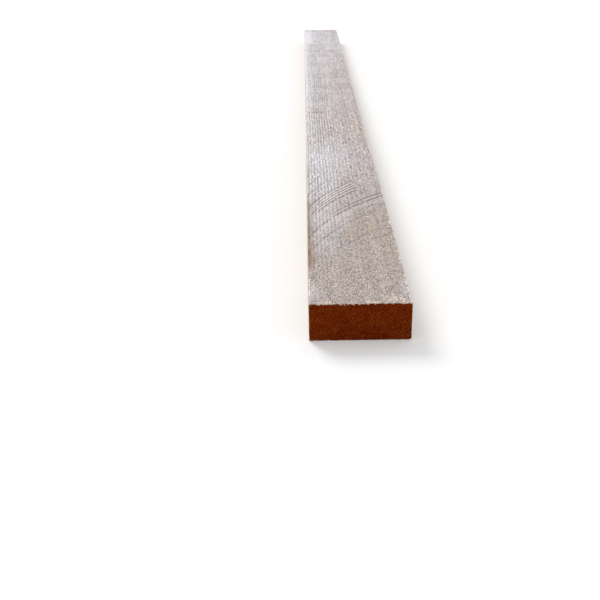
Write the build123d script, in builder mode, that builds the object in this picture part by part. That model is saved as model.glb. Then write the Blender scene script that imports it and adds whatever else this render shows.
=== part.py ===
from build123d import *
import os

# A rough sawn softwood plank: one piece of edged stock, cut square at both ends.
# It lies flat and runs along Y, with its width along X and its thickness along Z.
# The origin is at the centre of its underside, and all lengths are in millimetres.

# The sawn section, and the length that the plank is cut to
plank_width = 100.0
plank_thickness = 40.0
plank_length = 2000.0

# The four long arrises, which the saw leaves sharp and handling soon eases
arris_radius = 1.2

with BuildPart() as plank:
    with BuildSketch(Plane.XZ) as sawn_section:
        Rectangle(plank_width, plank_thickness, align=(Align.CENTER, Align.MIN))
        fillet(sawn_section.vertices(), radius=arris_radius)
    extrude(amount=plank_length / 2, both=True)

plank.part.label = "plank"

os.makedirs("parts", exist_ok=True)
export_step(plank.part, "parts/plank.step")
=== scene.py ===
import itertools
import math

import bpy
import numpy as np
from mathutils import Matrix, Vector


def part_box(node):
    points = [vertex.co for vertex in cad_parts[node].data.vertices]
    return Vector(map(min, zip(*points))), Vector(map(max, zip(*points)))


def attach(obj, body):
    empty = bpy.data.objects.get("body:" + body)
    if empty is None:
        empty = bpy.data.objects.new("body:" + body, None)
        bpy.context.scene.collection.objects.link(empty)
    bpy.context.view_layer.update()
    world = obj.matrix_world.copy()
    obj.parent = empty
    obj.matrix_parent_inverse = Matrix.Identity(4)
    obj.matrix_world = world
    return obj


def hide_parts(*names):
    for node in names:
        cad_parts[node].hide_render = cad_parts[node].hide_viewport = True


# The looks of the sawn plank: rough faces with saw marks, dark end grain and raised fibres.
# Lengths are in millimetres, and become metres where Blender takes them.
# A place on the plank is x across it from the middle, d along it from the near end, and z up.
# Colours are written as the eye reads them, from 0 to 255.

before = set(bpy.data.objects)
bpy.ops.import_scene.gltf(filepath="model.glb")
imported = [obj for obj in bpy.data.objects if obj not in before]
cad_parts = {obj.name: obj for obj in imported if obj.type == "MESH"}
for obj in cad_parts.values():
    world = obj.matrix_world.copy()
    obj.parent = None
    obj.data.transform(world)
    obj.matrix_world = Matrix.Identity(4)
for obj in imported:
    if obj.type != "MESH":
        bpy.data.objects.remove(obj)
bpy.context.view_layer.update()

METRE = 0.001
MILLIMETRES = 1000.0
BODY = "root"
NODE = "plank"

plank_low, plank_high = (np.array(corner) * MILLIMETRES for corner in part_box(NODE))
plank_width, plank_length, plank_thickness = plank_high - plank_low
half_width = plank_width / 2
near_end_y = plank_low[1]

# Grid of the plank's mesh: lines close together at the arrises, and rows closer at the near end
ARRIS_LINES = (0.0, 0.3, 0.6, 1.2, 2.2, 3.8)
COLUMN_STEP = 2.4
LAYER_STEP = 2.6
MIDDLE_ROW = 1000.0
ROW_ZONES = ((450.0, 2.0), (MIDDLE_ROW, 3.0), (plank_length, 4.0))

# Rough sawn relief of the long faces, and the seed of each face's own noise
RELIEF_SEEDS = {"upper": 1, "lower": 11, "right": 31, "left": 41, "near": 51, "far": 61}
RELIEF_FADE = 8.0
WOOL_CELL = (2.4, 5.5, 2.4)
WOOL_HEIGHT = 0.14
SWELL_CELL = (70.0, 160.0, 70.0)
SWELL_HEIGHT = 0.18
GROOVE_DEPTH = 0.35
SCORE_DEPTH = 0.3
CREST_HEIGHT = 0.08

# Torn relief of the ends, with the leaning strokes of the cross cut
STROKE_LEAN = 0.35
STROKE_CELL = (1.6, 1.0, 9.0)
STROKE_HEIGHT = 0.2
TORN_CELL = (2.6, 1.0, 2.6)
TORN_HEIGHT = 0.2

# Long arrises: nearly sharp, nibbled in places, and broken at the lower right of the near end
ARRIS_SEED = 20
ARRIS_RADIUS = 0.5
ARRIS_NIBBLE = 1.4
NIBBLE_LEAST = 0.35
NIBBLE_CELL = 9.0
SLOW_NIBBLE_CELL = 126.0
BROKEN_RADIUS = 2.0
BROKEN_REACH = (4.0, 40.0)

# Circular saw marks: the blade's rim leaves faint arcs that repeat along the feed
BLADE_RADIUS = 306.0
BLADE_CENTRE_X = 246.6
MARK_PITCH = 11.5
MARK_START = 95.5
MARK_SIDES = (1.3, 0.3)
EDGE_SLANT = 0.35
PLAIN_MARKS = 0.15

# Single arcs on the upper face where a tooth cut deeper, and the pale crests beside them.
# Each has its feed, half its width, the x that it starts and stops at, and its strength.
# Their dark is partly painted shade in the scores' grooves, and the crests' pale is a painted
# highlight
SCORES = [
    (-41.0, 0.9, 16.0, 54.0, 0.6),
    (-16.0, 0.9, -12.0, 34.0, 0.75),
    (2.5, 0.7, -22.0, 50.0, 0.4),
    (11.0, 0.7, -40.0, 18.0, 0.35),
    (27.0, 0.7, -34.0, 34.0, 0.35),
    (47.5, 0.9, -46.0, 36.0, 0.85),
    (71.0, 0.9, 14.0, 34.0, 0.75),
    (95.5, 1.1, -50.0, -4.0, 1.0),
    (95.5, 1.0, -8.0, 54.0, 1.0),
    (108.0, 1.0, -20.0, 54.0, 1.0),
    (119.0, 0.7, -24.0, 4.0, 0.5),
    (164.5, 0.9, -48.0, -30.0, 0.9),
    (201.5, 0.9, -54.0, -26.0, 0.8),
    (231.0, 0.8, -50.0, -20.0, 0.75),
    (250.0, 0.8, -54.0, -22.0, 0.55),
    (295.0, 0.9, -54.0, -24.0, 0.6),
]
CRESTS = [
    (82.0, 4.0, -34.0, 54.0, 0.35),
    (102.0, 0.9, 4.0, 54.0, 0.9),
    (113.0, 0.8, -22.0, 34.0, 0.4),
    (140.0, 2.5, -46.0, 10.0, 0.35),
    (171.0, 1.0, -48.0, -30.0, 0.5),
    (308.0, 2.0, -54.0, -30.0, 0.4),
]
# A close group of both, left of the middle: five scores with four crests between them
GROUP_START = 154.0
GROUP_PITCH = 10.6
GROUP_SCORES = 5
GROUP_SCORE = (1.0, -36.0, 12.0, 1.0)
GROUP_CREST = (1.1, -36.0, 12.0, 1.0)
SCORES += [(GROUP_START + GROUP_PITCH * i, *GROUP_SCORE) for i in range(GROUP_SCORES)]
CRESTS += [(GROUP_START + GROUP_PITCH * (i + 0.5), *GROUP_CREST) for i in range(GROUP_SCORES - 1)]
# Over how much an arc's sides and its ends fade
ARC_BLUR = 0.4
ARC_TAPER = 8.0

# The saw stopped for a moment on a line across the upper face, and the texture changes there.
# The line slants further along from a bend, and is blurred before it and after it.
STOP_LEFT = 833.0
STOP_BEND_X = -18.0
STOP_SLANT = 0.7
STOP_BEFORE = 15.0
STOP_AFTER = 25.0

# Growth rings, round a pith that lay below the plank and to its right
PITH_X = 80.0
PITH_Z = -51.0
RING_WIDTH = 3.41
RING_START = 0.34
RING_WANDER = 3.0
RING_WANDER_CELL = (60.0, 420.0, 60.0)
SUMMER_BEGINS = (0.25, 0.75)
SUMMER_ENDS = (0.85, 1.0)

# Raised fibres. Roots keep an inset from the arrises and ends, and tufts gather at places across.
# A run is where roots start and stop along the plank, as shares of its length.
ROOT_DEPTH = 0.25
LOWER_ROOT_HEIGHT = 0.5
LOWEST_FIBRE = 0.4
FACE_INSET = 1.0
END_INSET = 0.4
ARRIS_INSET = 0.45
SPARE_REACH = 0.8
SPIKE_TAPER = 0.75
TUFT_PLACES = (-45.0, -17.0, 30.0)

NAP_SEED = 7
NAP_COUNTS = {"upper": 15000, "right": 5000, "left": 5000}
NAP_RUN = (0.0005, 0.9995)
NAP_CROWDING = 1.7
NAP_SWING = 0.28
NAP_LIFTS = (0.06, 0.22)
NAP_LENGTHS = (1.8, 5.5)
NAP_WIDTHS = (0.14, 0.3)
NAP_TONES = (0.45, 1.0)

WHISKER_SEED = 19
WHISKER_BEND = 0.12
WHISKER_WIDTHS = (0.12, 0.28)
WHISKER_TONES = (0.85, 1.15)

# Whiskers at the ends' edges, along the long arrises, and curly ones on the upper face.
# Tufting is the share in tufts and a tuft's spread. Three numbers are for mostly short lengths:
# the least, the usual excess and the most.
UPPER_END_WHISKERS = 400
LOWER_END_WHISKERS = 260
END_TUFTING = (0.22, 2.5)
UPPER_END_RISES = (0.1, 0.5)
LOWER_END_RISES = (0.0, 0.2)
END_OUTS = (0.0, 0.3)
END_SWING = 0.6
END_LENGTHS = (0.7, 0.6, 2.8)
UPPER_ARRIS_WHISKERS = 2600
LOWER_ARRIS_WHISKERS = 900
ARRIS_RUN = (0.002, 0.998)
UPPER_ARRIS_RISES = (0.1, 0.7)
LOWER_ARRIS_RISES = (0.0, 0.1)
ARRIS_OUTS = (0.0, 0.5)
ARRIS_LENGTHS = (0.8, 0.8, 4.0)
CURLY_WHISKERS = 1400
CURLY_TUFTING = (0.25, 4.0)
CURLY_INWARD = (0.6, 7.0, 40.0)
CURLY_STRETCH = 1.6
CURLY_RISES = (0.15, 0.5)
CURLY_LENGTHS = (1.2, 3.2)

# Seeds of the pale torn rim of the upper face, partly a painted highlight, for how far it reaches
# in and for its beads
FUZZ_REACH_SEED = 71
FUZZ_BEAD_SEED = 73

# How far down over the upper arrises stains run, and the weathering with painted sky light
STAIN_RUN = 6.0
WEATHER_AND_SKYLIGHT_RUN = 4.0

# Where along the upper face the wool gives way to longer grain, and ring lines begin to show, both
# on a slant; where clouds show again; and where across it the ring lines grow calmer
WOOL_ENDS = (160.0, 460.0)
RINGS_BEGIN = (60.0, 300.0)
GRAIN_SLANT = 1.2
CLOUDS_BEGIN = (1300.0, 1700.0)
CALM_BEGINS_X = (-28.0, 20.0)

# Patches of the upper face: strength, centre, and reach each way, both as x and d
# Painted sheen: bluish white patches that stand for the sky's reflection
PAINTED_SHEEN_PATCHES = (
    (0.3, (-34, 170), (30, 70)),
    (0.45, (-30, 246), (38, 80)),
    (0.65, (-50, 384), (52, 130)),
    (0.75, (-50, 512), (85, 140)),
    (0.35, (46, 34), (7, 34)),
    (0.3, (-46, 15), (14, 40)),
)
TAN_PATCHES = (
    (0.3, (15, 359), (34, 55)),
    (0.4, (33, 186), (16, 90)),
    (1.0, (39, 135), (5, 26)),
    (0.4, (32, 690), (28, 170)),
    (0.4, (28, 1200), (14, 80)),
)

# Cells of the colours' patterns: across the plank, along it and up
WOOL_CLUMP_CELL = (0.8, 1.9, 0.8)
WOOL_TUFT_CELL = (0.4, 1.0, 0.4)
GRAIN_CLUMP_CELL = (1.0, 14.0, 1.0)
GRAIN_TUFT_CELL = (0.5, 3.4, 0.5)
STREAK_LINE_CELL = (2.0, 60.0, 2.0)
STREAK_TUFT_CELL = (1.0, 9.0, 1.0)
THREAD_CELL = (1.6, 28.0, 1.6)
SPECK_CELL = (1.0, 7.0, 1.0)
STREAK_CELL = (7.0, 380.0, 7.0)
CLOUD_CELL = (9.0, 38.0, 9.0)
VEIL_CELL = (12.0, 320.0, 12.0)
BAND_CELL = (80.0, 26.0, 80.0)
SCORE_BREAK_CELL = (4.0, 10.0, 4.0)
MARK_BREAK_CELL = (9.0, 16.0, 9.0)
BEAD_CELL = (1.9, 3.2, 1.9)
FACE_TORN_CELL = (1.6, 4.0, 1.6)
END_STROKE_CELL = (0.9, 40.0, 6.0)
END_TORN_CELL = (1.0, 40.0, 1.2)
END_PORE_CELL = (0.5, 40.0, 0.5)
END_PATCH_CELL = (22.0, 40.0, 14.0)
END_BEAD_CELL = (1.9, 40.0, 1.9)
MOTTLE_CELL = (1.2, 2.5, 1.2)

# Shades of the wood
GREY_DARK = (82, 62, 47)
GREY_PALE = (223, 209, 204)
TAN_DARK = (94, 66, 42)
TAN_PALE = (232, 212, 194)
# Painted sheen that grows further along the upper face
PAINTED_FAR_SHEEN_DARK = (106, 84, 72)
PAINTED_FAR_SHEEN_PALE = (254, 248, 254)
# Painted sheen: a bluish white painted reflection of the sky
PAINTED_SHEEN_DARK = (165, 163, 168)
PAINTED_SHEEN_PALE = (250, 251, 255)
HONEY_DARK = (122, 90, 62)
HONEY_PALE = (228, 196, 158)
FUZZ_PALE = (255, 234, 219)
STAINED = (112, 90, 68)
DARKER_BROWN = (116, 80, 24)
END_DARK = (84, 6, 0)
END_BROWN = (114, 32, 0)
END_PALE = (150, 80, 28)

# Finish of bare wood: its sheen, and how deep light goes in, with each channel's share of that
SHEEN_TINT = (215, 228, 250)
SHEEN_ROUGHNESS = 0.3
GLOW_DEPTH = 0.5
GLOW_SHARES = (1.0, 0.9, 0.8)

# Flat map for baking, as shares of its side: a strip for each half of a long face, and the ends
BAKE_MAP = "OFBake"
BAKE_GAP = 0.005
BAKE_STRIPS = {"upper": 0.203, "lower": 0.112, "right": 0.056, "left": 0.056}
BAKE_END_SIZE = (0.215, 0.086)

# Camera, fitted to the plank's edges in the photograph
IMAGE_SIDE = 600.0
CAMERA_FOCAL_PIXELS = 822.6
CAMERA_PLACE = (-49.9, -712.1, 381.4)
CAMERA_PITCH = 25.3
CAMERA_YAW = -0.67
CAMERA_ROLL = -1.16
SENSOR_WIDTH = 36.0
CAMERA_CLIP = (10.0, 100000.0)

# Light all round, one lamp, and a floor: grey for the light it throws back, paler where it is seen
WORLD_STRENGTH = 0.7
LAMP_BEARING = (-0.45, 0.8, 0.75)
LAMP_STRENGTH = 1.5
LAMP_SPREAD = 25.0
FLOOR_SIDE = 14000.0
FLOOR_GREY = 0.8
FLOOR_SEEN = 0.92
FLOOR_LIFT = 0.12

# Scrambling numbers of the random lattice, and the range that most of Blender's noise is in
LATTICE_STEPS = (12.9898, 78.233, 37.719)
SEED_STEP = 1.618
SCRAMBLE = 43758.5453
NOISE_RANGE = (0.36, 0.64)

# Sockets of a colour mix node
MIX_SHARE = 0
MIX_FIRST = 6
MIX_SECOND = 7
MIX_RESULT = 2


def linear(level):
    """A colour channel from 0 to 255, as light."""
    share = level / 255
    return share / 12.92 if share <= 0.04045 else ((share + 0.055) / 1.055) ** 2.4


def colour(shade):
    """A shade as a shader's colour."""
    return (*(linear(level) for level in shade), 1.0)


def smooth(value, low, high):
    """From 0 at low to 1 at high, with no kink at either."""
    share = np.clip((value - low) / (high - low), 0, 1)
    return share * share * (3 - 2 * share)


def window(value, low, high, soft):
    """1 between low and high, and 0 further out than soft."""
    return smooth(value, low - soft, low) * (1 - smooth(value, high, high + soft))


def unit(vectors):
    """The same directions, one long."""
    return vectors / np.linalg.norm(vectors, axis=1, keepdims=True)


def lattice_random(lattice, seed):
    """One fixed value from -1 to 1 for each whole-number place."""
    mixed = np.sin(lattice @ np.array(LATTICE_STEPS) + seed * SEED_STEP) * SCRAMBLE
    return 2 * (mixed - np.floor(mixed)) - 1


def value_noise(places, cell, seed):
    """Smooth random values from -1 to 1, with one free value at each corner of the cells."""
    scaled = places / np.array(cell)
    base = np.floor(scaled)
    part = scaled - base
    part = part * part * (3 - 2 * part)
    total = np.zeros(len(places))
    for corner in itertools.product((0, 1), repeat=3):
        weight = np.prod(np.where(corner, part, 1 - part), axis=1)
        total += weight * lattice_random(base + corner, seed)
    return total


def rim_reach(x):
    """How far the blade's rim stood ahead of its centre where it cut this place across."""
    return np.sqrt(BLADE_RADIUS**2 - (x - BLADE_CENTRE_X) ** 2)


def upper_feed(x, d):
    """How far along its feed the saw stood when its rim passed this place of the upper face."""
    return d - rim_reach(x)


def lower_feed(x, d):
    """The same for the lower face, which was cut from the other side."""
    return d - rim_reach(-x)


def edge_feed(x, d, z):
    """The same for a narrow edge, where the marks run on from the upper face with a slant."""
    return d - rim_reach(x) + EDGE_SLANT * (plank_thickness - z)


def past_stop(x, d):
    """How far beyond the saw's stop this place lies."""
    return d - STOP_LEFT - STOP_SLANT * np.maximum(x - STOP_BEND_X, 0)


def mark_strength(x, d):
    """How strongly the repeated saw marks show on the upper face, from 0 to 1."""
    feed = upper_feed(x, d)
    left = 0.25 * window(feed, 205, 350, 20) * window(x, -50, -30, 10)
    hatch = 0.3 * window(feed, -35, 21, 8) * window(x, -38, 6, 8)
    everywhere = 0.1 * window(d, 60, 820, 120)
    return np.max([left, hatch, everywhere], axis=0)


def arc_strength(feed, x, arcs):
    """How strongly the single arcs show at this place, from 0 to 1."""
    narrowing = rim_reach(x) / BLADE_RADIUS
    strengths = []
    for middle, half, start, stop, strength in arcs:
        line = 1 - smooth(np.abs(feed - middle) * narrowing, half - ARC_BLUR, half + ARC_BLUR)
        strengths.append(strength * line * window(x, start, stop, ARC_TAPER))
    return np.max(strengths, axis=0)


def face_relief(places, feed, marks, seed):
    """Height of a sawn face over its true plane: woolly roughness, slow swells and saw grooves."""
    wool = value_noise(places, WOOL_CELL, seed)
    swell = value_noise(places, SWELL_CELL, seed + 1)
    turn = 2 * math.pi * (feed - MARK_START) / MARK_PITCH
    groove = (0.5 + 0.5 * np.cos(turn)) ** 3
    return WOOL_HEIGHT * wool + SWELL_HEIGHT * swell - GROOVE_DEPTH * marks * groove


def upper_relief(places):
    """The upper face's relief, with its single deep arcs and their crests."""
    x, d, z = places.T
    feed = upper_feed(x, d)
    plain = face_relief(places, feed, mark_strength(x, d), RELIEF_SEEDS["upper"])
    scored = SCORE_DEPTH * arc_strength(feed, x, SCORES)
    raised = CREST_HEIGHT * arc_strength(feed, x, CRESTS)
    return plain - scored + raised


def lower_relief(places):
    """The underside's relief, sunk so that its crests stay above the floor."""
    x, d, z = places.T
    plain = face_relief(places, lower_feed(x, d), PLAIN_MARKS, RELIEF_SEEDS["lower"])
    return plain - WOOL_HEIGHT - SWELL_HEIGHT


def edge_relief(places, face):
    """The relief of the right or left edge."""
    x, d, z = places.T
    return face_relief(places, edge_feed(x, d, z), PLAIN_MARKS, RELIEF_SEEDS[face])


def end_relief(places, face):
    """Height of a cross-cut end over its true plane: torn fibres and the saw's leaning strokes."""
    x, d, z = places.T
    leaning = np.stack([x + STROKE_LEAN * z, np.zeros(len(x)), z], axis=1)
    strokes = value_noise(leaning, STROKE_CELL, RELIEF_SEEDS[face])
    torn = value_noise(leaning, TORN_CELL, RELIEF_SEEDS[face] + 1)
    return STROKE_HEIGHT * strokes + TORN_HEIGHT * torn


def line_places(length, step):
    """Places of grid lines across one side: close together at its edges, a step apart between."""
    inner = length - 2 * ARRIS_LINES[-1]
    count = round(inner / step)
    middle = [ARRIS_LINES[-1] + inner * i / count for i in range(1, count)]
    far_lines = [length - line for line in reversed(ARRIS_LINES)]
    return np.array([*ARRIS_LINES, *middle, *far_lines])


def row_places():
    """Places of grid rows along the plank, closer together near the camera."""
    rows = list(ARRIS_LINES)
    for zone_end, step in ROW_ZONES:
        last = zone_end if zone_end < plank_length else plank_length - ARRIS_LINES[-1]
        count = round((last - rows[-1]) / step)
        rows += list(np.linspace(rows[-1], last, count + 1)[1:])
    rows += [plank_length - line for line in reversed(ARRIS_LINES[:-1])]
    return np.array(rows)


def sheet_quads(index):
    """The quads of a sheet of vertex numbers, facing first axis cross second axis."""
    corners = index[:-1, :-1], index[1:, :-1], index[1:, 1:], index[:-1, 1:]
    return np.stack([corner.ravel() for corner in corners], axis=1)


def closed_grid(xs, ds, zs):
    """The six faces of a box as one closed grid: its vertices, and quads for each face."""
    shape = len(xs), len(ds), len(zs)
    outer = np.ones(shape, bool)
    outer[1:-1, 1:-1, 1:-1] = False
    index = np.full(shape, -1)
    index[outer] = np.arange(outer.sum())
    places = np.stack(np.meshgrid(xs, ds, zs, indexing="ij"), axis=-1)[outer]
    quads = {
        "upper": sheet_quads(index[:, :, -1]),
        "lower": sheet_quads(index[:, :, 0].T),
        "right": sheet_quads(index[-1]),
        "left": sheet_quads(index[0].T),
        "near": sheet_quads(index[:, 0]),
        "far": sheet_quads(index[:, -1].T),
    }
    return places, quads


def arris_radius(d, side, upper):
    """The radius of a long arris at each place along it."""
    seed = ARRIS_SEED + 2 * side + upper
    line = np.stack([np.zeros(len(d)), d, np.zeros(len(d))], axis=1)
    nibble = np.clip(value_noise(line, (1, NIBBLE_CELL, 1), seed), 0, 1) ** 2
    slow = np.clip(value_noise(line, (1, SLOW_NIBBLE_CELL, 1), seed + 7), 0, 1)
    share = NIBBLE_LEAST + (1 - NIBBLE_LEAST) * slow
    radius = ARRIS_RADIUS + ARRIS_NIBBLE * nibble * share
    if side > 0 and not upper:
        radius = radius + BROKEN_RADIUS * (1 - smooth(d, *BROKEN_REACH))
    return radius


def ease_arrises(places):
    """Rounds the four long arrises, by turning the square at each corner into a quarter circle."""
    x, d, z = places.T
    for side, upper in itertools.product((-1, 1), (0, 1)):
        radius = arris_radius(d, side, upper)
        across = (side * x - (half_width - radius)) / radius
        height = z if upper else plank_thickness - z
        above = (height - (plank_thickness - radius)) / radius
        corner = (across > 0) & (above > 0)
        a, b, r = across[corner], above[corner], radius[corner]
        x[corner] = side * (half_width - r + r * a * np.sqrt(1 - b * b / 2))
        eased = plank_thickness - r + r * b * np.sqrt(1 - a * a / 2)
        z[corner] = eased if upper else plank_thickness - eased
    return np.stack([x, d, z], axis=1)


def near_face(distance):
    """How far a face's relief reaches into the plank: 1 on the face, 0 further in than the fade."""
    return np.clip(1 - distance / RELIEF_FADE, 0, 1)


def roughen(places):
    """Moves each face by its relief, which fades inwards so that the arrises stay whole."""
    x, d, z = places.T
    moved = places.copy()
    moved[:, 2] += upper_relief(places) * near_face(plank_thickness - z)
    moved[:, 2] -= lower_relief(places) * near_face(z)
    moved[:, 0] += edge_relief(places, "right") * near_face(half_width - x)
    moved[:, 0] -= edge_relief(places, "left") * near_face(half_width + x)
    moved[:, 1] -= end_relief(places, "near") * near_face(d)
    moved[:, 1] += end_relief(places, "far") * near_face(plank_length - d)
    return moved


def to_frame(places):
    """Places on the plank as metres in the shared frame."""
    return (places + (0, near_end_y, 0)) * METRE


def new_piece(name, places, faces):
    """A piece of wood with these places on the plank, smoothly shaded."""
    mesh = bpy.data.meshes.new(name)
    mesh.from_pydata(to_frame(places), [], faces)
    mesh.polygons.foreach_set("use_smooth", np.ones(len(mesh.polygons), bool))
    mesh.update()
    piece = bpy.data.objects.new(name, mesh)
    bpy.context.scene.collection.objects.link(piece)
    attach(piece, BODY)
    return piece


def paint(piece, name, values):
    """Keeps one number for each vertex of a piece, for its material to read."""
    attribute = piece.data.attributes.new(name, "FLOAT", "POINT")
    attribute.data.foreach_set("value", np.asarray(values, np.float32))


def spot(x, d, centre, size):
    """A soft round patch, 1 at its centre."""
    reach = ((x - centre[0]) / size[0]) ** 2 + ((d - centre[1]) / size[1]) ** 2
    return np.clip(1 - reach, 0, 1)


def patches(x, d, listed):
    """The strongest of several soft round patches."""
    strengths = [share * spot(x, d, centre, size) for share, centre, size in listed]
    return np.max(strengths, axis=0)


def painted_far_sheen_strength(x, d):
    """How far the upper face is painted a pale pinkish grey, more so further along it, as painted
    sheen.
    """
    along = 0.5 * smooth(d, 240, 480) + 0.15 * smooth(d, 850, 1100) + 0.35 * smooth(d, 1100, 1700)
    return np.clip(along * (1 - 0.008 * x), 0, 1)


def painted_sheen_strength(x, d):
    """Where a bluish white sheen is painted on the upper face, as a painted reflection of the sky.
    """
    band = 0.5 * window(x, -50, -40, 16) * smooth(d, 440, 620)
    stripe = window(x, -50, -46, 5) * (0.5 * smooth(d, 330, 480) + 0.5 * smooth(d, 560, 1000))
    far = smooth(d, 1400, 1800) * (1.0 - 0.75 * smooth(x, -42, -12))
    return np.max([band, stripe, far, patches(x, d, PAINTED_SHEEN_PATCHES)], axis=0)


def tan_strength(x, d):
    """Where the upper face has kept a warm tan."""
    overall = 0.08 + 0.2 * (1 - smooth(d, 150, 330)) * smooth(x, -35, 25)
    return np.maximum(overall, patches(x, d, TAN_PATCHES))


def stain_strength(x, d):
    """Where the upper face has small dark stains."""
    return np.max([
        0.6 * spot(x, d, (-28, 1690), (12, 26)),
        0.9 * window(past_stop(x, d), -2, 2, 4) * window(x, -36, -20, 4),
        0.45 * window(past_stop(x, d), -2, 2, 5) * window(x, -46, 40, 6),
        0.4 * window(d, 1970, 1998, 10),
    ], axis=0)


def brown_strength(x, d):
    """Where the upper face is browner: along part of its left arris, and at the near end's rim."""
    return np.max([
        0.8 * window(d, 105, 150, 35) * smooth(-x, 39, 52),
        0.75 * window(d, 150, 285, 40) * smooth(-x, 41, 52),
        0.4 * (1 - smooth(d, 1, 9)),
    ], axis=0)


def fuzz_and_highlight_strength(x, d):
    """Where torn fibres turn the rim of the upper face pale, with a painted highlight along its
    arrises and ends.
    """
    across = np.stack([x, np.zeros(len(x)), np.zeros(len(x))], axis=1)
    along = np.stack([np.sign(x), d, np.zeros(len(x))], axis=1)
    from_end = np.minimum(d, plank_length - d)
    reach = 7 + 40 * np.clip(value_noise(across, (8, 1, 1), FUZZ_REACH_SEED), 0, 1) ** 1.5
    ends = 0.5 * (1 - smooth(from_end, 0.2 * reach, reach))
    ends = np.maximum(ends, 0.6 * (1 - smooth(from_end, 2, 8)))
    beads = 0.35 + 0.4 * value_noise(along, (1, 6, 1), FUZZ_BEAD_SEED)
    beads += 0.4 * (1 - smooth(from_end, 30, 80))
    beads += 0.12 * (x > 0) * (1 - smooth(d, 300, 420))
    clear = 1 - window(d, 80, 330, 30) * (x < 0)
    rims = smooth(np.abs(x), half_width - 2.6, half_width - 1.0) * beads * clear
    return np.maximum(ends, rims)


def paint_plank(piece, places):
    """Keeps what the wood's material reads at each vertex of the plank."""
    x, d, z = places.T
    upper = z == plank_thickness
    lower = z == 0
    feed = np.where(upper, upper_feed(x, d), edge_feed(x, d, z))
    paint(piece, "feed", np.where(lower, lower_feed(x, d), feed))
    paint(piece, "saw_marks", np.where(upper, mark_strength(x, d), PLAIN_MARKS))
    strengths = {
        "painted_far_sheen": painted_far_sheen_strength,
        "painted_sheen": painted_sheen_strength,
        "tan": tan_strength,
        "fuzz_and_highlight": fuzz_and_highlight_strength,
    }
    for name, strength in strengths.items():
        paint(piece, name, np.where(upper, strength(x, d), 0))
    stained = smooth(z, plank_thickness - STAIN_RUN, plank_thickness)
    paint(piece, "stain", stain_strength(x, d) * stained)
    paint(piece, "brown", brown_strength(x, d) * stained)
    paint(piece, "exposed_and_skylit", smooth(z, plank_thickness - WEATHER_AND_SKYLIGHT_RUN, plank_thickness))


def lay_out(piece, places, quads):
    """A flat map for baking: each long face in two halves, one over the other, then both ends."""
    corners = []
    bottom = BAKE_GAP
    for face, height in BAKE_STRIPS.items():
        x, d, z = np.moveaxis(places[quads[face]], -1, 0)
        across = z / plank_thickness if face in ("left", "right") else x / plank_width + 0.5
        far_half = d.mean(axis=1, keepdims=True) > MIDDLE_ROW
        along = (d - far_half * MIDDLE_ROW) / MIDDLE_ROW
        u = BAKE_GAP + (1 - 2 * BAKE_GAP) * along
        v = bottom + height * across + far_half * (height + BAKE_GAP)
        corners.append(np.stack([u, v], axis=-1))
        bottom += 2 * (height + BAKE_GAP)
    end_width, end_height = BAKE_END_SIZE
    for number, face in enumerate(("near", "far")):
        x, d, z = np.moveaxis(places[quads[face]], -1, 0)
        start = BAKE_GAP + number * (end_width + BAKE_GAP)
        u = start + end_width * (x / plank_width + 0.5)
        v = bottom + end_height * z / plank_thickness
        corners.append(np.stack([u, v], axis=-1))
    layer = piece.data.uv_layers.new(name=BAKE_MAP)
    layer.data.foreach_set("uv", np.concatenate(corners).astype(np.float32).ravel())


def make_plank():
    """The plank's detailed mesh, which stands for the plain solid."""
    xs = line_places(plank_width, COLUMN_STEP) - half_width
    zs = line_places(plank_thickness, LAYER_STEP)
    true_places, quads = closed_grid(xs, row_places(), zs)
    faces = np.concatenate(list(quads.values()))
    piece = new_piece("sawn_plank", roughen(ease_arrises(true_places.copy())), faces)
    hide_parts(NODE)
    paint_plank(piece, true_places)
    lay_out(piece, true_places, quads)
    ends = len(quads["near"]) + len(quads["far"])
    slots = np.zeros(len(faces), np.int32)
    slots[-ends:] = 1
    piece.data.materials.append(face_wood())
    piece.data.materials.append(end_wood())
    piece.data.polygons.foreach_set("material_index", slots)


def ring_of_three(centres, axes, widths):
    """Three points round each centre, square to its axis."""
    helper = np.where(np.abs(axes[:, 2:]) < 0.9, (0, 0, 1), (1, 0, 0))
    first = unit(np.cross(axes, helper))
    second = np.cross(axes, first)
    turns = np.radians((90, 210, 330))[:, None, None]
    ring = np.cos(turns) * first + np.sin(turns) * second
    return centres + widths[:, None] * ring


def straight_spikes(roots, reaches, widths):
    """Thin closed spikes with three sides, one for each root: their places and faces."""
    base = ring_of_three(roots, unit(reaches), widths)
    places = np.concatenate([base, [roots + reaches]]).transpose(1, 0, 2).reshape(-1, 3)
    pattern = np.array([(0, 2, 1), (0, 1, 3), (1, 2, 3), (2, 0, 3)])
    starts = 4 * np.arange(len(roots))[:, None, None]
    return places, (pattern + starts).reshape(-1, 3)


def bent_spikes(roots, reaches, bends, widths):
    """Thin closed spikes that bend halfway, one for each root: their places and faces."""
    halfway = 0.5 * reaches + bends
    base = ring_of_three(roots, unit(halfway), widths)
    middle = ring_of_three(roots + halfway, unit(reaches), SPIKE_TAPER * widths)
    places = np.concatenate([base, middle, [roots + reaches]]).transpose(1, 0, 2).reshape(-1, 3)
    pattern = [(0, 2, 1), (3, 4, 6), (4, 5, 6), (5, 3, 6)]
    for here, after in ((0, 1), (1, 2), (2, 0)):
        pattern += [(here, after, after + 3), (here, after + 3, here + 3)]
    starts = 7 * np.arange(len(roots))[:, None, None]
    return places, (np.array(pattern) + starts).reshape(-1, 3)


def finish_fibres(name, spikes, tone, exposed_and_skylit, material):
    """Makes one piece of many fibres, each with its own tone and its own share of weathering and
    painted sky light.
    """
    places, faces = spikes
    piece = new_piece(name, places, faces)
    corners = len(places) // len(tone)
    paint(piece, "tone", np.repeat(tone, corners))
    paint(piece, "exposed_and_skylit", np.repeat(exposed_and_skylit, corners))
    piece.data.materials.append(material)


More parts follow.
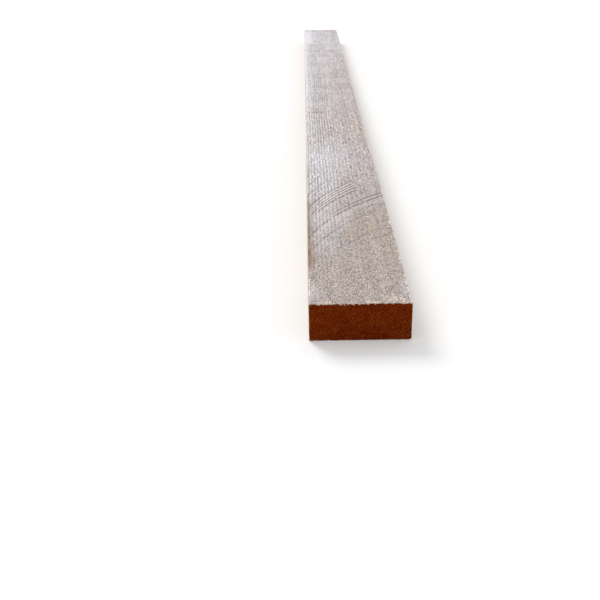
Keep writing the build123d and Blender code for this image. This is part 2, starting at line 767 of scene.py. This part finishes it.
def nap_roots(rng, face, count):
    """Places for fibres on a long face, denser near the camera, and the way out of the face."""
    d = plank_length * rng.uniform(*NAP_RUN, count) ** NAP_CROWDING
    if face == "upper":
        x = rng.uniform(FACE_INSET - half_width, half_width - FACE_INSET, count)
        places = np.stack([x, d, np.full(count, plank_thickness)], axis=1)
        places[:, 2] += upper_relief(places)
        return places, np.array((0, 0, 1.0))
    side = 1 if face == "right" else -1
    z = rng.uniform(FACE_INSET, plank_thickness - FACE_INSET, count)
    places = np.stack([np.full(count, side * half_width), d, z], axis=1)
    places[:, 0] += side * edge_relief(places, face)
    return places, np.array((side, 0, 0.0))


def make_nap(material):
    """The short fibres that the saw raised over the long faces, lying along the grain."""
    rng = np.random.default_rng(NAP_SEED)
    roots, reaches, exposed_and_skylit = [], [], []
    for face, count in NAP_COUNTS.items():
        places, out = nap_roots(rng, face, count)
        across = np.cross(out, (0, 1.0, 0))
        way = np.where(rng.random(count) < 0.5, -1, 1)[:, None] * np.array((0, 1.0, 0))
        swing = rng.normal(0, NAP_SWING, (count, 1)) * across
        lift = rng.uniform(*NAP_LIFTS, (count, 1)) * out
        from_end = np.minimum(places[:, 1:2], plank_length - places[:, 1:2])
        length = np.minimum(rng.uniform(*NAP_LENGTHS, (count, 1)), SPARE_REACH + from_end)
        reaches.append(length * unit(way + swing + lift))
        roots.append(places - ROOT_DEPTH * out)
        exposed_and_skylit.append(np.full(count, float(face == "upper")))
    roots, reaches = np.concatenate(roots), np.concatenate(reaches)
    reaches[:, 2] = np.maximum(reaches[:, 2], LOWEST_FIBRE - roots[:, 2])
    widths = rng.uniform(*NAP_WIDTHS, len(roots))
    tone = rng.uniform(*NAP_TONES, len(roots))
    spikes = straight_spikes(roots, reaches, widths)
    finish_fibres("raised_nap", spikes, tone, np.concatenate(exposed_and_skylit), material)


def tufted_places(rng, count, share, spread, inset):
    """Places across the plank, a share of them gathered in tufts."""
    reach = half_width - inset
    tufts = rng.choice(TUFT_PLACES, count) + rng.normal(0, spread, count)
    places = np.where(rng.random(count) < share, tufts, rng.uniform(-reach, reach, count))
    return np.clip(places, -reach, reach)


def mostly_short(rng, count, least, excess, most):
    """Lengths from least to most, with many short and few long ones."""
    return np.minimum(least + rng.exponential(excess, count), most)


def end_fringe(rng, end, upper):
    """Whiskers that the cross cut left along an end's upper or lower edge: roots and reaches."""
    count = UPPER_END_WHISKERS if upper else LOWER_END_WHISKERS
    rises = UPPER_END_RISES if upper else LOWER_END_RISES
    x = tufted_places(rng, count, *END_TUFTING, END_INSET)
    outward = -1.0 if end == "near" else 1.0
    d = np.full(count, END_INSET if end == "near" else plank_length - END_INSET)
    z = np.full(count, plank_thickness - ROOT_DEPTH if upper else LOWER_ROOT_HEIGHT)
    rise = rng.uniform(*rises, count)
    sideways = rng.normal(0, END_SWING, count)
    way = np.stack([sideways, outward * rng.uniform(*END_OUTS, count), rise], axis=1)
    length = mostly_short(rng, count, *END_LENGTHS)
    return np.stack([x, d, z], axis=1), length[:, None] * unit(way)


def end_tufts(rng, end):
    """Curly torn fibres on the upper face, close to an end: roots and reaches."""
    count = CURLY_WHISKERS
    x = tufted_places(rng, count, *CURLY_TUFTING, FACE_INSET)
    inward = mostly_short(rng, count, *CURLY_INWARD)
    d = inward if end == "near" else plank_length - inward
    roots = np.stack([x, d, np.full(count, plank_thickness)], axis=1)
    roots[:, 2] += upper_relief(roots) - ROOT_DEPTH
    turn = rng.uniform(0, 2 * math.pi, count)
    rise = rng.uniform(*CURLY_RISES, count)
    way = np.stack([np.cos(turn), CURLY_STRETCH * np.sin(turn), rise], axis=1)
    length = np.minimum(rng.uniform(*CURLY_LENGTHS, (count, 1)), SPARE_REACH + inward[:, None])
    return roots, length * unit(way)


def arris_fringe(rng, side, upper):
    """Whiskers along one long arris, mostly lying along the grain: roots and reaches."""
    count = UPPER_ARRIS_WHISKERS if upper else LOWER_ARRIS_WHISKERS
    rises = UPPER_ARRIS_RISES if upper else LOWER_ARRIS_RISES
    d = plank_length * rng.uniform(*ARRIS_RUN, count)
    z = np.full(count, plank_thickness - ARRIS_INSET if upper else ARRIS_INSET)
    roots = np.stack([np.full(count, side * (half_width - ARRIS_INSET)), d, z], axis=1)
    along = np.where(rng.random(count) < 0.5, -1, 1)
    rise = rng.uniform(*rises, count)
    way = np.stack([side * rng.uniform(*ARRIS_OUTS, count), along, rise], axis=1)
    length = mostly_short(rng, count, *ARRIS_LENGTHS)
    return roots, length[:, None] * unit(way)


def make_whiskers(material):
    """The longer bent fibres that stand out along the arrises and round the ends."""
    rng = np.random.default_rng(WHISKER_SEED)
    groups = []
    for upper in (True, False):
        groups += [(upper, end_fringe(rng, end, upper)) for end in ("near", "far")]
        groups += [(upper, arris_fringe(rng, side, upper)) for side in (-1, 1)]
    groups += [(True, end_tufts(rng, end)) for end in ("near", "far")]
    roots = np.concatenate([group[0] for upper, group in groups])
    reaches = np.concatenate([group[1] for upper, group in groups])
    exposed_and_skylit = np.concatenate([np.full(len(group[0]), float(upper)) for upper, group in groups])
    lengths = np.linalg.norm(reaches, axis=1, keepdims=True)
    bends = WHISKER_BEND * lengths * rng.normal(0, 1, reaches.shape)
    bends[:, 2] = np.abs(bends[:, 2])
    reaches[:, 2] = np.maximum(reaches[:, 2], LOWEST_FIBRE - roots[:, 2])
    widths = rng.uniform(*WHISKER_WIDTHS, len(roots))
    tone = rng.uniform(*WHISKER_TONES, len(roots))
    spikes = bent_spikes(roots, reaches, bends, widths)
    finish_fibres("edge_whiskers", spikes, tone, exposed_and_skylit, material)


class Signal:
    """A number that varies over a surface: a node's output, with the usual arithmetic."""

    def __init__(self, graph, socket):
        self.graph = graph
        self.socket = socket

    def __add__(self, other):
        return self.graph.math("ADD", self, other)

    def __radd__(self, other):
        return self.graph.math("ADD", other, self)

    def __sub__(self, other):
        return self.graph.math("SUBTRACT", self, other)

    def __rsub__(self, other):
        return self.graph.math("SUBTRACT", other, self)

    def __mul__(self, other):
        return self.graph.math("MULTIPLY", self, other)

    def __rmul__(self, other):
        return self.graph.math("MULTIPLY", other, self)

    def __truediv__(self, other):
        return self.graph.math("DIVIDE", self, other)


class Graph:
    """A node tree, with short calls for the nodes that the materials use."""

    def __init__(self, tree):
        self.tree = tree
        tree.nodes.clear()

    def node(self, kind, settings=None, inputs=None):
        """A new node, with its inputs given by their names or numbers."""
        made = self.tree.nodes.new(kind)
        for name, value in (settings or {}).items():
            setattr(made, name, value)
        for name, value in (inputs or {}).items():
            self.feed(made.inputs[name], value)
        return made

    def feed(self, socket, value):
        if isinstance(value, Signal):
            value = value.socket
        if isinstance(value, bpy.types.NodeSocket):
            self.tree.links.new(value, socket)
        else:
            socket.default_value = value

    def math(self, operation, *values):
        made = self.node("ShaderNodeMath", {"operation": operation}, dict(enumerate(values)))
        return Signal(self, made.outputs[0])

    def vector_math(self, operation, first, second):
        inputs = {0: first, 1: second}
        return self.node("ShaderNodeVectorMath", {"operation": operation}, inputs).outputs[0]

    def place(self):
        """The place on the object, in millimetres."""
        found = self.node("ShaderNodeTexCoord").outputs["Object"]
        return self.vector_math("MULTIPLY", found, (MILLIMETRES,) * 3)

    def split(self, vector):
        made = self.node("ShaderNodeSeparateXYZ", inputs={"Vector": vector})
        return [Signal(self, socket) for socket in made.outputs]

    def join(self, *parts):
        return self.node("ShaderNodeCombineXYZ", inputs=dict(enumerate(parts))).outputs[0]

    def noise(self, vector, cell, detail=2.0, roughness=0.5, distortion=0.0):
        scaled = self.vector_math("DIVIDE", vector, cell)
        inputs = {"Vector": scaled, "Scale": 1.0, "Detail": detail}
        inputs |= {"Roughness": roughness, "Distortion": distortion}
        made = self.node("ShaderNodeTexNoise", {"noise_dimensions": "3D"}, inputs)
        return Signal(self, made.outputs["Fac"])

    def grain(self, vector, cell, detail=1.0, roughness=0.5, distortion=0.0):
        """Noise that is spread over the whole range from 0 to 1, and is 0.5 on the whole."""
        spread = self.noise(vector, cell, detail, roughness, distortion)
        return self.step(spread, *NOISE_RANGE)

    def cells(self, vector, cell):
        """Small cells of uneven shape, each with one random level from -0.5 to 0.5."""
        scaled = self.vector_math("DIVIDE", vector, cell)
        made = self.node("ShaderNodeTexVoronoi", inputs={"Vector": scaled, "Scale": 1.0})
        return self.split(made.outputs["Color"])[0] - 0.5

    def attribute(self, name):
        made = self.node("ShaderNodeAttribute", {"attribute_name": name})
        return Signal(self, made.outputs["Fac"])

    def step(self, value, low, high):
        """From 0 where value is low to 1 where it is high."""
        inputs = dict(enumerate((value, low, high, 0.0, 1.0)))
        made = self.node("ShaderNodeMapRange", {"interpolation_type": "SMOOTHSTEP"}, inputs)
        return Signal(self, made.outputs[0])

    def mix(self, first, second, share):
        settings = {"data_type": "RGBA", "clamp_factor": True}
        inputs = {MIX_SHARE: share, MIX_FIRST: first, MIX_SECOND: second}
        return self.node("ShaderNodeMix", settings, inputs).outputs[MIX_RESULT]


def new_material(name):
    """A material with an empty node tree, and the graph that fills it."""
    material = bpy.data.materials.new(name)
    material.use_nodes = True
    return material, Graph(material.node_tree)


def wood_shader(graph, base, rough, height, bump_depth, gloss, sheen, glow=0.0):
    """The shared finish of bare wood: rough, with a pale sheen, and light through thin fibres."""
    bumped = {"Strength": 1.0, "Distance": bump_depth * METRE, "Height": height}
    bump = graph.node("ShaderNodeBump", inputs=bumped)
    shader = graph.node("ShaderNodeBsdfPrincipled", inputs={
        "Base Color": base,
        "Roughness": rough,
        "Normal": bump.outputs[0],
        "Specular IOR Level": gloss,
        "Sheen Weight": sheen,
        "Sheen Roughness": SHEEN_ROUGHNESS,
        "Sheen Tint": colour(SHEEN_TINT),
        "Subsurface Weight": glow,
        "Subsurface Radius": GLOW_SHARES,
        "Subsurface Scale": GLOW_DEPTH * METRE,
    })
    graph.node("ShaderNodeOutputMaterial", inputs={"Surface": shader.outputs[0]})


def rings(graph, x, z, place):
    """Growth rings: 0 in each ring's spring wood, and 1 in its summer wood."""
    wander = graph.noise(place, RING_WANDER_CELL, detail=2.0)
    across = x - PITH_X
    up = z - PITH_Z
    radius = graph.math("SQRT", across * across + up * up)
    turns = (radius + RING_WANDER * (wander - 0.5)) / RING_WIDTH + RING_START
    phase = graph.math("FRACT", turns)
    return graph.step(phase, *SUMMER_BEGINS) * (1.0 - graph.step(phase, *SUMMER_ENDS))


def woolly_grain(graph, place, x, d, exposed_and_skylit):
    """Torn grain, and how far each place is past the wool and past the longer grains.

    The upper face has a fine wool at its near end, then longer grains, and streaks past the stop.
    The other faces have longer grains all over.
    """
    wool = 0.3 * graph.cells(place, WOOL_CLUMP_CELL) + 2.1 * graph.cells(place, WOOL_TUFT_CELL)
    grains = 0.28 * graph.cells(place, GRAIN_CLUMP_CELL) + 1.4 * graph.cells(place, GRAIN_TUFT_CELL)
    streaks = 0.15 * (graph.grain(place, STREAK_LINE_CELL, detail=2.0) - 0.5)
    streaks = streaks + 0.42 * graph.cells(place, STREAK_TUFT_CELL)
    past_wool = graph.step(d - GRAIN_SLANT * x, *WOOL_ENDS)
    past_wool = graph.math("MAXIMUM", past_wool, 1.0 - exposed_and_skylit)
    slant = STOP_SLANT * graph.math("MAXIMUM", x - STOP_BEND_X, 0.0)
    stopped = graph.step(d - slant, STOP_LEFT - STOP_BEFORE, STOP_LEFT + STOP_AFTER)
    past_grains = stopped * exposed_and_skylit
    fill = 1.0 + 0.8 * past_wool * (1.0 - past_wool)
    longer = grains + past_grains * (streaks - grains)
    return fill * (wool + past_wool * (longer - wool)), past_wool, past_grains


def arc_narrowing(graph, x):
    """How much closer two arcs lie than their feeds, because they slant across the plank."""
    across = (x - BLADE_CENTRE_X) / BLADE_RADIUS
    return graph.math("SQRT", 1.0 - across * across)


def repeated_marks(graph, x):
    """The saw's faint arcs that repeat along its feed, dark at each, partly as painted shade in
    their grooves.
    """
    turns = (graph.attribute("feed") - MARK_START) / MARK_PITCH
    from_mark = graph.math("PINGPONG", turns, 0.5) * MARK_PITCH * arc_narrowing(graph, x)
    return graph.step(from_mark, *MARK_SIDES) * graph.attribute("saw_marks")


def single_arcs(graph, x, arcs):
    """The single arcs of the upper face, as strong as each of them is given."""
    feed = graph.attribute("feed")
    narrowing = arc_narrowing(graph, x)
    strongest = 0.0
    for middle, half, start, stop, strength in arcs:
        off = graph.math("ABSOLUTE", feed - middle) * narrowing
        line = graph.step(off, half + ARC_BLUR, half - ARC_BLUR) * strength
        begun = graph.step(x, start - ARC_TAPER, start + ARC_TAPER)
        ended = graph.step(x, stop - ARC_TAPER, stop + ARC_TAPER)
        strongest = graph.math("MAXIMUM", strongest, line * begun * (1.0 - ended))
    return strongest * graph.attribute("exposed_and_skylit")


def face_wood():
    """Rough sawn long grain: greyed on the upper face, honey coloured where it was covered; the
    grey is partly painted sky light, the honey partly painted shade.
    """
    material, graph = new_material("rough_sawn_face")
    place = graph.place()
    x, y, z = graph.split(place)
    d = y - float(near_end_y)
    exposed_and_skylit = graph.attribute("exposed_and_skylit")

    wool, past_wool, past_grains = woolly_grain(graph, place, x, d, exposed_and_skylit)
    ring = rings(graph, x, z, place)
    thread = graph.grain(place, THREAD_CELL)
    streak = graph.grain(place, STREAK_CELL, detail=2.0, roughness=0.6)
    cloud = graph.grain(place, CLOUD_CELL, detail=2.0, roughness=0.6)
    veil = graph.grain(place, VEIL_CELL, detail=2.0)
    broken = 0.5 + 0.5 * graph.grain(place, SCORE_BREAK_CELL)
    score = single_arcs(graph, x, SCORES) * broken
    crest = single_arcs(graph, x, CRESTS)
    mark = repeated_marks(graph, x) * graph.grain(place, MARK_BREAK_CELL)
    near = 1.0 - past_wool
    # Where bluish white sheen is painted, as a painted reflection of the sky
    white = graph.attribute("painted_sheen")

    # How pale each place is, from 0 to 1. Ring lines show past the wool, and less on the right.
    ringed = graph.step(d - GRAIN_SLANT * x, *RINGS_BEGIN) * exposed_and_skylit
    calm = graph.step(x, *CALM_BEGINS_X) * exposed_and_skylit
    lined = 0.11 - 0.06 * calm + (0.28 - 0.25 * calm) * ringed
    lined = lined - (0.23 - 0.13 * calm) * past_grains + 0.15 * (1.0 - exposed_and_skylit)
    specks = graph.step(graph.cells(place, SPECK_CELL), 0.1, 0.4) * (1.0 - ring)
    tone = 0.5 + (0.3 + 0.7 * exposed_and_skylit) * wool
    tone = tone - (0.4 - 0.2 * calm) * (ringed - past_grains) * (specks - 0.15)
    tone = tone + lined * (0.75 + 0.5 * thread) * (ring - 0.45)
    tone = tone + (0.05 + 0.05 * past_wool) * (thread - 0.5)
    tone = tone + 0.1 * (streak - 0.5) + 0.06 * near * (cloud - 0.5)
    # Saw arcs: dark partly as painted shade in their grooves, pale crests as a painted highlight
    tone = tone + 0.45 * crest - 0.95 * score - 0.75 * mark
    far_cloud = graph.step(d, *CLOUDS_BEGIN) * (cloud - 0.5)
    bands = graph.grain(place, BAND_CELL) + 1.6 * far_cloud
    tone = tone + 0.08 * past_grains * (bands - 0.5)
    # Painted sheen makes these places paler
    tone = tone + 0.25 * graph.step(white, 0.6, 1.0)

    # The dark and the pale shade that each place lies between
    patchy = 0.3 * near * (cloud - 0.5) + 0.35 * (veil - 0.5)
    tan = graph.step(graph.attribute("tan") + patchy, 0.1, 0.9)
    dark = graph.mix(colour(GREY_DARK), colour(TAN_DARK), tan)
    pale = graph.mix(colour(GREY_PALE), colour(TAN_PALE), tan)
    # Painted sheen: paler further along the upper face
    painted_far_sheen = graph.attribute("painted_far_sheen") + 0.15 * past_wool * (veil - 0.5) - 0.3 * tan * past_wool
    dark = graph.mix(dark, colour(PAINTED_FAR_SHEEN_DARK), painted_far_sheen)
    pale = graph.mix(pale, colour(PAINTED_FAR_SHEEN_PALE), painted_far_sheen)
    # Painted sheen: bluish white laid over both shades
    painted_sheen = white * (0.7 + 0.3 * veil + 0.3 * near * cloud)
    dark = graph.mix(dark, colour(PAINTED_SHEEN_DARK), painted_sheen)
    pale = graph.mix(pale, colour(PAINTED_SHEEN_PALE), painted_sheen)
    # Honey on the covered faces: partly painted shade, against painted sky light on the upper face
    dark = graph.mix(colour(HONEY_DARK), dark, exposed_and_skylit)
    pale = graph.mix(colour(HONEY_PALE), pale, exposed_and_skylit)
    base = graph.mix(dark, pale, tone)

    # Stains, and pale torn fibres over them, with a painted highlight along the rims
    stain = graph.step(graph.attribute("stain") + 0.3 * wool, 0.3, 0.9)
    base = graph.mix(base, colour(STAINED), 0.85 * stain)
    base = graph.mix(base, colour(DARKER_BROWN), graph.attribute("brown") * (0.7 + 0.6 * cloud))
    beads = 2.0 * graph.cells(place, BEAD_CELL)
    fuzz_and_highlight = graph.step(graph.attribute("fuzz_and_highlight") * (1.0 + beads), 0.5, 0.8)
    base = graph.mix(base, colour(FUZZ_PALE), 0.9 * fuzz_and_highlight)

    torn = graph.noise(place, FACE_TORN_CELL)
    rough = 0.58 + 0.2 * torn
    height = torn + 0.2 * ring + 0.2 * streak - 0.5 * score - 0.5 * mark
    wood_shader(graph, base, rough, height, bump_depth=0.35, gloss=0.5, sheen=0.1)
    return material


def end_wood():
    """Cross-cut end grain: dark red brown, with torn fibres and faint growth rings."""
    material, graph = new_material("cross_cut_end")
    place = graph.place()
    x, y, z = graph.split(place)
    ring = rings(graph, x, z, place)
    leaning = graph.join(x + STROKE_LEAN * z, y, z)
    strokes = graph.grain(leaning, END_STROKE_CELL, detail=2.0, roughness=0.6)
    torn = graph.grain(leaning, END_TORN_CELL, distortion=0.6)
    pores = graph.cells(leaning, END_PORE_CELL)
    patch = graph.grain(place, END_PATCH_CELL, detail=2.0)

    tone = 0.5 + 0.3 * (torn - 0.5) + 0.9 * pores + 0.2 * (strokes - 0.5)
    tone = tone - 0.12 * (ring - 0.25) + 0.12 * (patch - 0.5)
    base = graph.mix(colour(END_DARK), colour(END_BROWN), 2.0 * tone)
    base = graph.mix(base, colour(END_PALE), 2.0 * tone - 1.0)

    # Paler at both sides as a painted highlight, with pale fibres hanging over the top edge
    from_side = float(half_width) - graph.math("ABSOLUTE", x)
    painted_side_highlight = graph.step(from_side, 1.0, 0.3)
    base = graph.mix(base, colour(END_PALE), 0.5 * painted_side_highlight)
    hung = z - float(plank_thickness) + 2.4 * graph.cells(place, END_BEAD_CELL)
    base = graph.mix(base, colour(FUZZ_PALE), 0.8 * graph.step(hung, -0.7, -0.1))

    rough = 0.75 + 0.2 * torn
    height = 0.6 * torn + 0.3 * strokes + 0.1 * ring
    wood_shader(graph, base, rough, height, bump_depth=0.6, gloss=0.02, sheen=0.0)
    return material


def fibre_wood():
    """Loose fibres: mostly paler than the face that they stand on."""
    material, graph = new_material("loose_fibre")
    place = graph.place()
    mottle = graph.grain(place, MOTTLE_CELL)
    exposed_and_skylit = graph.attribute("exposed_and_skylit")
    tone = graph.attribute("tone") + 0.3 * (mottle - 0.5)
    # Honey on covered faces and pale on the upper one: partly painted shade and sky light
    dark = graph.mix(colour(HONEY_DARK), colour(TAN_DARK), exposed_and_skylit)
    pale = graph.mix(colour(HONEY_PALE), colour(FUZZ_PALE), exposed_and_skylit)
    base = graph.mix(dark, pale, tone)
    rough = 0.7 + 0.2 * mottle
    wood_shader(graph, base, rough, mottle, bump_depth=0.05, gloss=0.3, sheen=0.1, glow=1.0)
    return material


def set_camera():
    """The photograph's viewpoint."""
    pitch, yaw, roll = (math.radians(a) for a in (CAMERA_PITCH, CAMERA_YAW, CAMERA_ROLL))
    level = Vector((math.sin(yaw), math.cos(yaw), 0))
    upright = Vector((0, 0, 1))
    sideways = Vector((math.cos(yaw), -math.sin(yaw), 0))
    forward = level * math.cos(pitch) - upright * math.sin(pitch)
    raised = level * math.sin(pitch) + upright * math.cos(pitch)
    right = sideways * math.cos(roll) + raised * math.sin(roll)
    up = raised * math.cos(roll) - sideways * math.sin(roll)
    data = bpy.data.cameras.new("camera")
    data.sensor_width = SENSOR_WIDTH
    data.lens = SENSOR_WIDTH * CAMERA_FOCAL_PIXELS / IMAGE_SIDE
    data.clip_start, data.clip_end = (limit * METRE for limit in CAMERA_CLIP)
    camera = bpy.data.objects.new("camera", data)
    turn = Matrix((right, up, -forward)).transposed().to_4x4()
    camera.matrix_world = Matrix.Translation(to_frame(np.array(CAMERA_PLACE))) @ turn
    bpy.context.scene.collection.objects.link(camera)
    bpy.context.scene.camera = camera


def seen_directly(graph):
    """1 for what the camera sees, straight or in a reflection, and 0 for light on the object."""
    path = graph.node("ShaderNodeLightPath")
    seen = graph.math("MAXIMUM", path.outputs["Is Camera Ray"], path.outputs["Is Glossy Ray"])
    return graph.math("MAXIMUM", seen, path.outputs["Is Transmission Ray"])


def set_world():
    """Even white light from all round, and a white background."""
    world = bpy.data.worlds.new("studio")
    world.use_nodes = True
    bpy.context.scene.world = world
    graph = Graph(world.node_tree)
    level = WORLD_STRENGTH + (1 - WORLD_STRENGTH) * seen_directly(graph)
    sky = graph.node("ShaderNodeBackground", inputs={"Color": (1, 1, 1, 1), "Strength": level})
    graph.node("ShaderNodeOutputWorld", inputs={"Surface": sky.outputs[0]})


def set_key_light():
    """One soft lamp, high up behind the plank and to its left, that lights all of it alike."""
    data = bpy.data.lights.new("soft_lamp", "SUN")
    data.energy = LAMP_STRENGTH
    data.angle = math.radians(LAMP_SPREAD)
    lamp = bpy.data.objects.new("soft_lamp", data)
    lamp.rotation_euler = (-Vector(LAMP_BEARING)).to_track_quat("-Z", "Y").to_euler()
    bpy.context.scene.collection.objects.link(lamp)


def set_floor():
    """A plain white floor that keeps the plank's shadow."""
    half = FLOOR_SIDE * METRE / 2
    mesh = bpy.data.meshes.new("floor")
    corners = [(-half, -half, 0), (half, -half, 0), (half, half, 0), (-half, half, 0)]
    mesh.from_pydata(corners, [], [(0, 1, 2, 3)])
    floor = bpy.data.objects.new("floor", mesh)
    bpy.context.scene.collection.objects.link(floor)
    material, graph = new_material("white_floor")
    plain = graph.node("ShaderNodeBsdfDiffuse", inputs={"Color": (*(FLOOR_GREY,) * 3, 1)})
    pale = graph.node("ShaderNodeBsdfDiffuse", inputs={"Color": (*(FLOOR_SEEN,) * 3, 1)})
    lift = graph.node("ShaderNodeEmission", inputs={"Color": (1, 1, 1, 1), "Strength": FLOOR_LIFT})
    seen = graph.node("ShaderNodeAddShader", inputs={0: pale.outputs[0], 1: lift.outputs[0]})
    choices = {0: seen_directly(graph), 1: plain.outputs[0], 2: seen.outputs[0]}
    choice = graph.node("ShaderNodeMixShader", inputs=choices)
    graph.node("ShaderNodeOutputMaterial", inputs={"Surface": choice.outputs[0]})
    mesh.materials.append(material)


set_camera()
set_world()
set_key_light()
set_floor()
make_plank()
loose_fibre = fibre_wood()
make_nap(loose_fibre)
make_whiskers(loose_fibre)
bpy.context.scene.view_settings.view_transform = "Standard"
